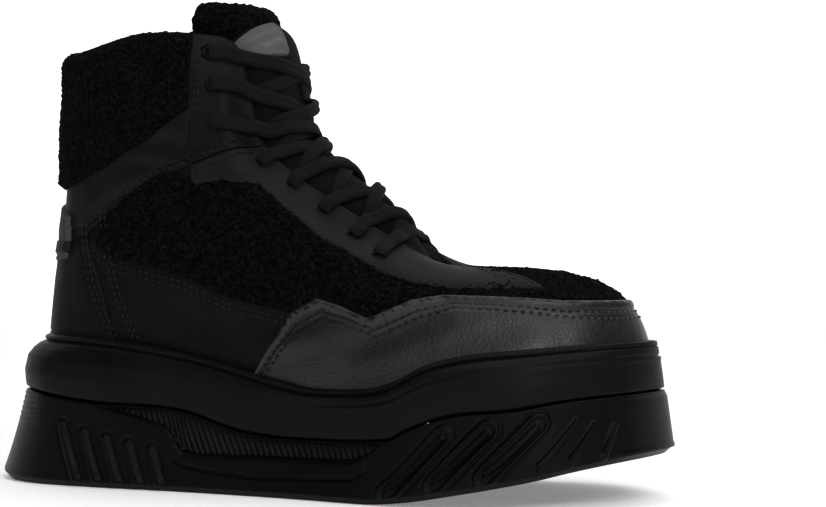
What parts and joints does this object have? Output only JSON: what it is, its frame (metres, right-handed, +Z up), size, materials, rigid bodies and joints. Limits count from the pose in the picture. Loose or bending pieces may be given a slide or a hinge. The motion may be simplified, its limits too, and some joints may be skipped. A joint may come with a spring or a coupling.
{
  "type": "winter high-top trainer",
  "caption": "Right winter high-top trainer: hollow leather and fleece upper, padded tongue, lace, foam midsole and lugged rubber outsole.",
  "frame": {"origin": "on the floor under the middle of the heel, on the tread's flat heel face", "axes": "+X towards the toe, -Y towards the outer side of the foot, +Z up"},
  "size_m": [0.2789, 0.1078, 0.19],
  "materials": {
    "outsole": "satin",
    "midsole": "matt, fine grain",
    "insole": "felted",
    "upper": "matt, with fleece panels",
    "grained_leather": "grained, satin",
    "stay_leather": "matt",
    "patch_leather": "matt",
    "fleece": "fleece",
    "tongue_cloth": "matt",
    "label_weave": "woven",
    "lace": "ribbed weave"
  },
  "bodies": {
    "root": {"outsole": "outsole", "midsole": "midsole", "insole": "insole", "upper": "upper", "collar_lining": "fleece", "toe_guard": "grained_leather", "eyestay_outer": "stay_leather", "eyestay_inner": "stay_leather", "heel_patch": "patch_leather", "tongue": "tongue_cloth", "tongue_cuff": "fleece", "tongue_label": "label_weave", "lace_keeper": "tongue_cloth", "lace": "lace"}
  },
  "joints": []
}
